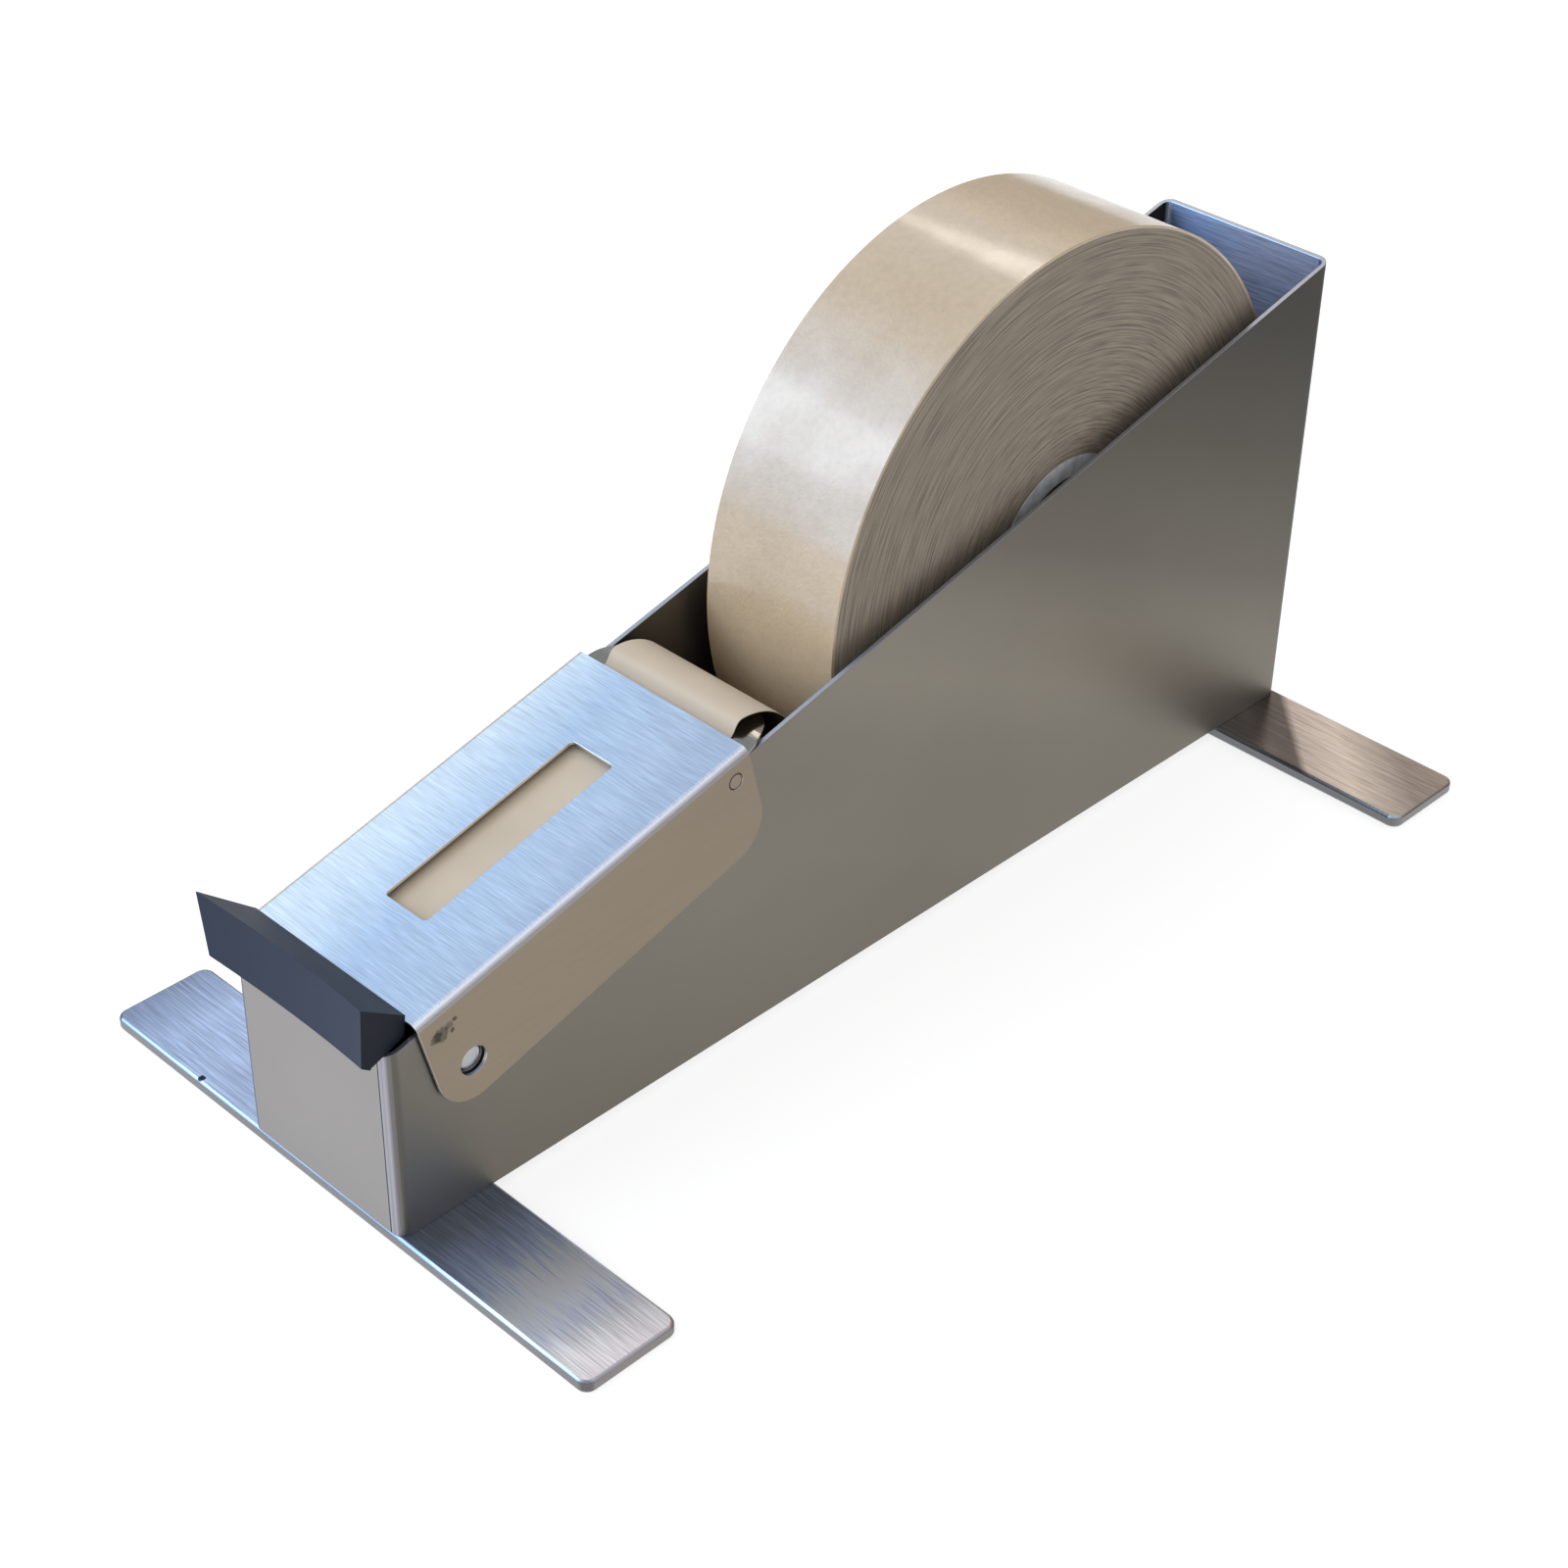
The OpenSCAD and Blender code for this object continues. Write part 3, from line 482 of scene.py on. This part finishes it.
def moulded(name, colour, rough, pores, relief, shine=0.5, uneven=0.15, patches=40.0, ends=1.0):
    """Plastic, felt, board or plain paper: fine pores in relief, and patches of tone and gloss. ends is
    the share of the tone painted on faces that look along X, to match the photograph's shade there."""
    material, nodes = new_material(name)
    place = nodes.add("ShaderNodeTexCoord")
    patch = nodes.noise(place["Object"], patches, detail=3.0)
    dark = tuple(c * (1 - uneven) for c in colour)
    light = tuple(min(1, c * (1 + uneven)) for c in colour)
    ways = nodes.split(nodes.vector("ABSOLUTE", place["Normal"]))
    dim = nodes.span(ways["X"], *PLASTIC_END_TURN, 1.0, ends)
    tone = nodes.vector("MULTIPLY", nodes.mix(patch, dark, light), dim)
    gloss = nodes.span(patch, 0.0, 1.0, rough - PLASTIC_GLOSS_SWING, rough + PLASTIC_GLOSS_SWING)
    bump = nodes.add("ShaderNodeBump", {"Height": nodes.noise(place["Object"], pores, detail=3.0),
                                        "Strength": relief, "Distance": PORE_DEPTH})
    body = nodes.add("ShaderNodeBsdfPrincipled", {"Base Color": tone, "Roughness": gloss,
                                                  "Specular IOR Level": shine, "Normal": bump[0]})
    nodes.add("ShaderNodeOutputMaterial", {"Surface": body[0]})
    return material


# The bar's end faces take painted shade.
bar_finish = moulded("bar finish", (0.023, 0.031, 0.052), rough=0.50, pores=2500.0, relief=0.15, shine=0.10,
                     ends=0.35)
eased("tear_bar", "cover", bar_finish, width=0.00035, smooth=20)
pin_steel = brushed("pin steel", *PIN_TONES, ALONG_Y, rough=0.30, streak=0.02)
dress(pin_steel, "tear_bar_screws")


# Catches
# Domed steel buttons that hold the cover down through holes in its flanges. A coil spring in a
# welded ring, closed by a plug, pushes each one out through the wall.
SEAM = 1e-7


def grid_mesh(name, points, around=False, along=False):
    """A mesh of quads over a grid of points, closed where asked: rows run along, columns around."""
    rows, columns = points.shape[:2]
    row = np.arange(rows if along else rows - 1)[:, None]
    column = np.arange(columns if around else columns - 1)[None, :]
    next_row, next_column = (row + 1) % rows, (column + 1) % columns
    quads = np.stack([row * columns + column, row * columns + next_column,
                      next_row * columns + next_column, next_row * columns + column], axis=-1).reshape(-1, 4)
    mesh = bpy.data.meshes.new(name)
    mesh.from_pydata(points.reshape(-1, 3).tolist(), [], quads.tolist())
    work = bmesh.new()
    work.from_mesh(mesh)
    bmesh.ops.remove_doubles(work, verts=work.verts, dist=SEAM)
    bmesh.ops.recalc_face_normals(work, faces=work.faces)
    work.to_mesh(mesh)
    work.free()
    return mesh


def add_piece(name, mesh, material, body, node):
    """A finished piece: its mesh, its material, the body it rides on and the node it stands for."""
    mesh.materials.append(material)
    mesh.polygons.foreach_set("use_smooth", np.ones(len(mesh.polygons), dtype=bool))
    mesh.set_sharp_from_angle(angle=math.radians(SMOOTH_BELOW))
    piece = bpy.data.objects.new(name, mesh)
    scene.collection.objects.link(piece)
    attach(piece, body)
    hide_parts(node)
    return piece


COIL_WIRE = 0.0008
COIL_TURNS = 5
COIL_END = 0.06
STEPS_IN_TURN = 24
WIRE_SIDES = 10


def coil(name, start, end, radius):
    """A round wire along a helix parallel to X: its centre turns about the axis as it moves along."""
    t = np.linspace(0, 1, COIL_TURNS * STEPS_IN_TURN + 1)[:, None]
    ring = np.linspace(0, 2 * np.pi, WIRE_SIDES, endpoint=False)[None, :]
    angle = 2 * np.pi * COIL_TURNS * t
    out = radius - COIL_WIRE / 2 + COIL_WIRE / 2 * np.cos(ring)
    share = COIL_END + (1 - 2 * COIL_END) * t
    x = start[0] + (end[0] - start[0]) * share + COIL_WIRE / 2 * np.sin(ring)
    points = np.stack(np.broadcast_arrays(x, start[1] + out * np.cos(angle),
                                          start[2] + out * np.sin(angle)), axis=-1)
    return grid_mesh(name, points, around=True)


# The buttons' tones on top, sides and ends are painted reflections.
button_steel = brushed("button steel", top=(0.50, 0.51, 0.54), sides=(0.40, 0.40, 0.41),
                       ends=(0.45, 0.46, 0.48), stretch=(1, 1, 1), rough=0.20, streak=0.02, relief=0.02)
for side in ("left", "right"):
    eased("catch_button_" + side, "catch_" + side, button_steel, width=0.0001)
    low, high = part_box("catch_spring_" + side)
    middle = (Vector(low) + Vector(high)) / 2
    spring = coil("catch_spring_" + side + "_coil", start=(low[0], middle.y, middle.z),
                  end=(high[0], middle.y, middle.z), radius=(high[2] - low[2]) / 2)
    wire = add_piece("catch_coil_" + side, spring, pin_steel, "frame",
                     "catch_spring_" + side)
    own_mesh(wire)
    dress(plate_steel, "catch_housing_" + side, "catch_plug_" + side)


# Moistening roller and water tray
# A moulded tray stands under the bed, and its notched lugs carry a steel axle. A plastic roller
# with a felt sleeve turns on the axle and wets the tape's gummed face.
def turned(name, profile, middle, steps):
    """A closed outline of (radius, place along X) points, carried round an axis parallel to X."""
    turn = np.linspace(0, 2 * np.pi, steps, endpoint=False)[:, None]
    radius, along = np.array(profile).T
    points = np.stack(np.broadcast_arrays(middle[0] + along[None, :], middle[1] + radius * np.cos(turn),
                                          middle[2] + radius * np.sin(turn)), axis=-1)
    return grid_mesh(name, points, around=True, along=True)


SLEEVE_BORE = 0.0091
SLEEVE_SOFT = 0.0012
SLEEVE_ROUND = 0.3 * SLEEVE_SOFT
tray_plastic = moulded("tray plastic", (0.055, 0.06, 0.068), rough=0.5, pores=1800.0, relief=0.2)
core_plastic = moulded("core plastic", (0.80, 0.80, 0.78), rough=0.45, pores=1500.0, relief=0.1)
felt = moulded("felt", (0.80, 0.77, 0.68), rough=0.95, pores=700.0, relief=1.0)
eased("water_tray", "frame", tray_plastic, width=0.0004)
dress(pin_steel, "roller_axle")
dress(core_plastic, "roller_core")
low, high = (np.array(corner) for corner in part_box("roller_sleeve"))
sleeve_r = (high[2] - low[2]) / 2
sleeve_half = (high[0] - low[0]) / 2
sleeve_end = [(SLEEVE_BORE, sleeve_half), (sleeve_r - SLEEVE_SOFT, sleeve_half),
              (sleeve_r - SLEEVE_ROUND, sleeve_half - SLEEVE_ROUND), (sleeve_r, sleeve_half - SLEEVE_SOFT)]
sleeve_profile = [(r, -x) for r, x in sleeve_end] + sleeve_end[::-1]
sleeve = turned("roller_sleeve_felt", sleeve_profile, (low + high) / 2, steps=96)
add_piece("roller_felt", sleeve, felt, "roller", "roller_sleeve")


# Tape
# Kraft paper wound with its glazed gum face out, on a board core. One strip leaves the roll at its
# front, crowns over the bed's lip and runs under the cover to the tear bar.
KRAFT = (0.54, 0.443, 0.333)
GLAZED = (0.525, 0.39, 0.245)
CUT_EDGES = (0.285, 0.23, 0.172)
ROLL_RIM = 0.0004
CORE_WALL = 0.006
CORE_GAP = 0.0001
ROLL_LAYERS = 60
SET_BACK = 0.00015
WANDER = 0.00008
WANDER_RATE = 900
FINE_WANDER = 0.00006
FINE_WANDER_RATE = 2300
FINE_WANDER_START = 1.0
MOTTLE_SCALE = 60.0
FLECK_SCALE = 420.0
FIBRE_SCALE = 1000.0
LAYER_SCALE = 1900.0
RING_SCALE = 1500.0
MOTTLE_TONES = (0.88, 1.1)
FLECK_SPAN = (0.3, 0.6)
FLECK_TONES = (0.94, 1.02)
WAVER = 0.0024
LAYER_SPAN = (0.80, 1.14)
LAYER_TONES = (0.64, 1.19)
GLAZE_SPAN = (0.35, 0.65)
GLAZE_WEIGHTS = (0.62, 1.0)
FACE_ROUGH, EDGE_ROUGH = 0.42, 0.85
FIBRE_RELIEF = 0.7
FIBRE_DEPTH = 0.0003
GUM_ROUGH = 0.15
GUM_TINT = (0.5, 0.75, 1.0)

low, high = (np.array(corner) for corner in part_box("tape_roll"))
roll_mid = (low + high) / 2
roll_r = (high[1] - low[1]) / 2
roll_half = (high[0] - low[0]) / 2
core_low, core_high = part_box("roll_core")
core_r = (core_high[2] - core_low[2]) / 2


def roll_side(sign):
    """Outline points of one side of the roll, from rim to core: two sine waves along the radius, their
    rates in radians to a metre, set each layer a little proud or back."""
    layers = np.linspace(roll_r - ROLL_RIM, core_r + CORE_GAP, ROLL_LAYERS)
    fine = FINE_WANDER * np.sin(layers * FINE_WANDER_RATE + FINE_WANDER_START)
    stand = WANDER * np.sin(layers * WANDER_RATE) + fine - SET_BACK
    return [(r, sign * (roll_half + s)) for r, s in zip(layers, stand)]


roll_face = [(roll_r, roll_half - ROLL_RIM), (roll_r, -roll_half + ROLL_RIM)]
roll_mesh = turned("tape_roll_wound", roll_side(1)[::-1] + roll_face + roll_side(-1), roll_mid, steps=360)


def wound_paper(name, colour, edge_colour, middle):
    """Kraft paper wound about an axis parallel to X: mottling, fibres and flecks on its glazed face, and
    on its sides rings that follow the distance from the axis and waver slowly with the angle round it."""
    material, nodes = new_material(name)
    place = nodes.add("ShaderNodeTexCoord")["Object"]
    centred = nodes.add("ShaderNodeMapping", {"Vector": place, "Location": tuple(-c for c in middle)})[0]
    parts = nodes.split(centred)
    flat = nodes.add("ShaderNodeCombineXYZ", {"Y": parts["Y"], "Z": parts["Z"]})[0]
    radius = nodes.vector("LENGTH", flat)
    mottle = nodes.noise(centred, MOTTLE_SCALE, detail=5.0)
    fibre = nodes.noise(centred, FIBRE_SCALE, detail=3.0)
    flecked = nodes.span(nodes.noise(centred, FLECK_SCALE, detail=4.0), *FLECK_SPAN, *FLECK_TONES)
    dark, light = (tuple(min(1, c * share) for c in colour) for share in MOTTLE_TONES)
    face = nodes.vector("MULTIPLY", nodes.mix(mottle, dark, light), flecked)

    wavering = nodes.number("MULTIPLY", nodes.number("ARCTAN2", parts["Y"], parts["Z"]), WAVER)
    polar = nodes.add("ShaderNodeCombineXYZ", {"X": radius, "Y": wavering})[0]
    straight = nodes.add("ShaderNodeCombineXYZ", {"X": radius})[0]
    layers = nodes.noise(polar, LAYER_SCALE, detail=3.0)
    layered = nodes.number("ADD", layers, nodes.noise(straight, RING_SCALE, detail=2.0))
    edge = nodes.vector("MULTIPLY", edge_colour, nodes.span(layered, *LAYER_SPAN, *LAYER_TONES))

    is_edge = nodes.number("LESS_THAN", radius, roll_r - 2 * ROLL_RIM)
    glaze = nodes.span(mottle, *GLAZE_SPAN, *GLAZE_WEIGHTS)
    coating = nodes.number("MULTIPLY", glaze, nodes.number("SUBTRACT", 1.0, is_edge))
    bump = nodes.add("ShaderNodeBump", {"Height": nodes.number("ADD", fibre, layered),
                                        "Strength": FIBRE_RELIEF, "Distance": FIBRE_DEPTH})
    body = nodes.add("ShaderNodeBsdfPrincipled", {
        "Base Color": nodes.mix(is_edge, face, edge),
        "Roughness": nodes.span(is_edge, 0.0, 1.0, FACE_ROUGH, EDGE_ROUGH),
        "Coat Weight": coating, "Coat Roughness": GUM_ROUGH, "Specular Tint": GUM_TINT, "Normal": bump[0]})
    nodes.add("ShaderNodeOutputMaterial", {"Surface": body[0]})
    return material


roll_paper = wound_paper("wound kraft", GLAZED, CUT_EDGES, roll_mid)
add_piece("wound_tape", roll_mesh, roll_paper, "roll", "tape_roll")

board = moulded("core board", (0.62, 0.63, 0.68), rough=0.8, pores=500.0, relief=0.3, uneven=0.6,
                patches=260.0)
core_bore = core_r - CORE_WALL
core_profile = [(core_r, -roll_half), (core_r, roll_half), (core_bore, roll_half), (core_bore, -roll_half)]
core_mesh = turned("roll_core_ring", core_profile, roll_mid, steps=128)
add_piece("core_tube", core_mesh, board, "roll", "roll_core")

strip_paper = moulded("strip kraft", KRAFT, rough=0.55, pores=900.0, relief=0.2)
eased("tape_strip", "frame", strip_paper, width=0.00004, smooth=40)
